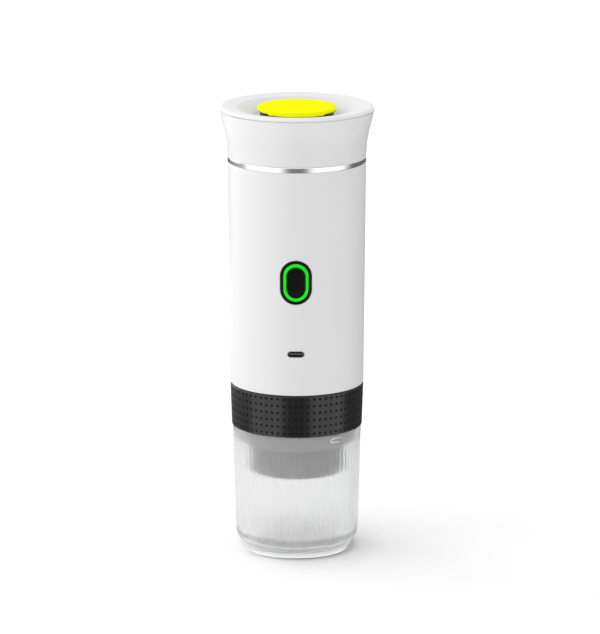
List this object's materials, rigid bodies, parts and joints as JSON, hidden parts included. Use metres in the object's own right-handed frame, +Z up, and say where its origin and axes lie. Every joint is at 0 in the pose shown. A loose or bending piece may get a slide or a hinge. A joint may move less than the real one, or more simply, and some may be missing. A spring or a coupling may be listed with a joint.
{
  "type": "portable espresso maker",
  "caption": "Upright battery espresso maker: flared screw lid over a water tank, button and charging socket, dimpled screw-on brew holder and a fluted cup it stands on.",
  "frame": {"origin": "centre of the cup's foot, on the surface that it stands on", "axes": "+Z up along the body, button and charging socket towards -Y, +X to the right seen from the front"},
  "size_m": [0.083, 0.083, 0.2424],
  "materials": {
    "yellow_silicone": "soft matte silicone",
    "black_plastic": "fine moulded texture",
    "black_gloss": "satin black",
    "dark_plastic": "moulded",
    "white_shell": "satin white",
    "polished_ring": "polished",
    "green_light": "translucent, lit from behind",
    "board_parts": "matte",
    "circuit_board": "green solder mask",
    "steel_sheet": "brushed stainless sheet",
    "aluminium_part": "plain",
    "cell_can": "shrink film over a metal can",
    "gear_plastic": "natural acetal",
    "seal_rubber": "soft silicone",
    "grip_rubber": "matte with rows of dimples",
    "clear_plastic": "translucent, fluted"
  },
  "bodies": {
    "pump_unit": {"trim_ring": "polished_ring", "body_shell": "white_shell", "button_bezel": "black_gloss", "light_ring": "green_light", "tact_switch": "dark_plastic", "light_emitters": "board_parts", "usb_socket": "steel_sheet", "usb_tongue": "dark_plastic", "usb_board": "circuit_board", "control_board": "circuit_board", "tank_neck": "white_shell", "tank_seal": "seal_rubber", "water_tank": "steel_sheet", "heater_plate": "aluminium_part", "thermal_cutout": "board_parts", "upper_deck": "dark_plastic", "lower_deck": "dark_plastic", "battery_cell_rear": "cell_can", "battery_cell_left": "cell_can", "battery_cell_right": "cell_can", "cell_tabs": "aluminium_part", "pump_motor": "aluminium_part", "pump_body": "dark_plastic", "pump_cover": "dark_plastic", "inlet_hose": "seal_rubber", "valve_body": "gear_plastic", "valve_spring": "steel_sheet", "brew_head": "dark_plastic", "shower_screen": "steel_sheet", "shower_screw": "steel_sheet", "neck_screws": "steel_sheet", "deck_screws": "steel_sheet", "head_screws": "steel_sheet", "pump_screws": "steel_sheet"},
    "cup": {"cup": "clear_plastic"},
    "brew_holder": {"holder": "dark_plastic", "grip_sleeve": "grip_rubber", "cup_seal": "seal_rubber", "filter_basket": "steel_sheet"},
    "brew_seal": {"brew_gasket": "seal_rubber"},
    "lid_seal": {"lid_gasket": "seal_rubber"},
    "lid": {"tank_lid": "white_shell", "lid_liner": "white_shell"},
    "vent": {"vent_cap": "yellow_silicone", "vent_plug": "black_plastic", "vent_seal": "seal_rubber"},
    "button": {"button_cap": "black_gloss", "switch_plunger": "black_plastic"},
    "drive": {"drive_gear": "gear_plastic"},
    "driven": {"driven_gear": "gear_plastic"},
    "ball": {"valve_ball": "steel_sheet"}
  },
  "joints": [
    {"name": "cup_release", "type": "slide", "parent": "cup", "child": "brew_holder", "axis": [0, 0, 1], "range_m": [0, 0.035]},
    {"name": "unit_rise", "type": "slide", "parent": "brew_holder", "child": "brew_seal", "axis": [0, 0, 1], "range_m": [0, 0.007]},
    {"name": "unit_turn", "type": "hinge", "parent": "brew_seal", "child": "pump_unit", "pos_m": [0, 0, 0.08], "axis": [0, 0, 1], "range_deg": [0, 180]},
    {"name": "lid_rise", "type": "slide", "parent": "pump_unit", "child": "lid_seal", "axis": [0, 0, 1], "range_m": [0, 0.007]},
    {"name": "lid_turn", "type": "hinge", "parent": "lid_seal", "child": "lid", "pos_m": [0, 0, 0.22], "axis": [0, 0, 1], "range_deg": [0, 180]},
    {"name": "vent_pull", "type": "slide", "parent": "lid", "child": "vent", "axis": [0, 0, 1], "range_m": [0, 0.03]},
    {"name": "button_press", "type": "slide", "parent": "pump_unit", "child": "button", "axis": [0, 1, 0], "range_m": [0, 0.0008], "stiffness_N_per_m": 2500},
    {"name": "pump_spin", "type": "hinge", "parent": "pump_unit", "child": "drive", "pos_m": [0, -0.00525, 0.13], "axis": [0, 0, 1], "continuous": true},
    {"name": "driven_spin", "type": "hinge", "parent": "pump_unit", "child": "driven", "pos_m": [0, 0.00525, 0.13], "axis": [0, 0, 1], "continuous": true},
    {"name": "valve_lift", "type": "slide", "parent": "pump_unit", "child": "ball", "axis": [0, 0, -1], "range_m": [0, 0.001], "stiffness_N_per_m": 100, "deforming": ["valve_spring"]}
  ],
  "couplings": [
    {"joint": "lid_rise", "follows": "lid_turn", "m_per_rad": 0.0022282},
    {"joint": "unit_rise", "follows": "unit_turn", "m_per_rad": 0.0022282},
    {"joint": "driven_spin", "follows": "pump_spin", "ratio": -1}
  ]
}
